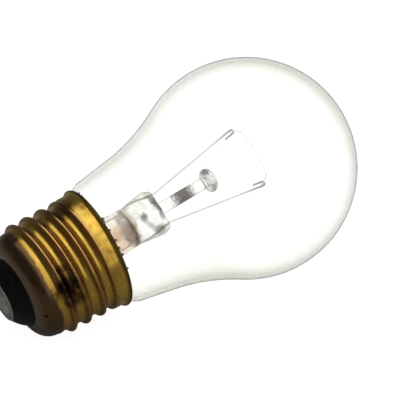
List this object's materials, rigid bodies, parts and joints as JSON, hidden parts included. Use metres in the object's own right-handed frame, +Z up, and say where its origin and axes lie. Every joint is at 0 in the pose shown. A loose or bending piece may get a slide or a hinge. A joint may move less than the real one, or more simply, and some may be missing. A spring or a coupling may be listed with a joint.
{
  "type": "coated incandescent bulb",
  "caption": "Clear incandescent bulb with a round crown, a glass stem with lead wires inside and a brass screw base with a black insulator and centre contact.",
  "frame": {"origin": "middle of the bulb's footprint, on the surface that it lies on", "axes": "+X along the bulb from the base to the crown, which rises by 12.8 degrees, +Z up"},
  "size_m": [0.086, 0.0484, 0.0484],
  "materials": {
    "clear_glass": "clear blown glass with a faint hazy coat",
    "stem_glass": "clear pressed glass, slightly pink",
    "rod_glass": "clear drawn glass with a grey getter patch",
    "tarnished_brass": "rolled brass, lacquered, tarnished and stained",
    "black_glass": "poured black glass, satin",
    "tinned_contact": "tinned and dulled",
    "solder": "dull solder",
    "basing_cement": "baked cement, matt",
    "copper_sheathed_wire": "copper-sheathed seal wire",
    "nickel_plated_wire": "drawn, nickel plated",
    "copper_wire": "drawn copper",
    "molybdenum_wire": "drawn, fine",
    "tungsten_coil": "wound coil, dark grey"
  },
  "bodies": {
    "root": {"glass_envelope": "clear_glass", "glass_stem": "stem_glass", "exhaust_tube": "stem_glass", "arbor_rod": "rod_glass", "screw_shell": "tarnished_brass", "insulator": "black_glass", "centre_contact": "tinned_contact", "contact_solder": "solder", "shell_solder": "solder", "basing_cement": "basing_cement", "seal_wire_a": "copper_sheathed_wire", "seal_wire_b": "copper_sheathed_wire", "inner_lead_a": "nickel_plated_wire", "inner_lead_b": "nickel_plated_wire", "contact_lead": "copper_wire", "shell_lead": "copper_wire", "support_wire_1": "molybdenum_wire", "support_wire_2": "molybdenum_wire", "support_wire_3": "molybdenum_wire", "filament": "tungsten_coil"}
  },
  "joints": []
}
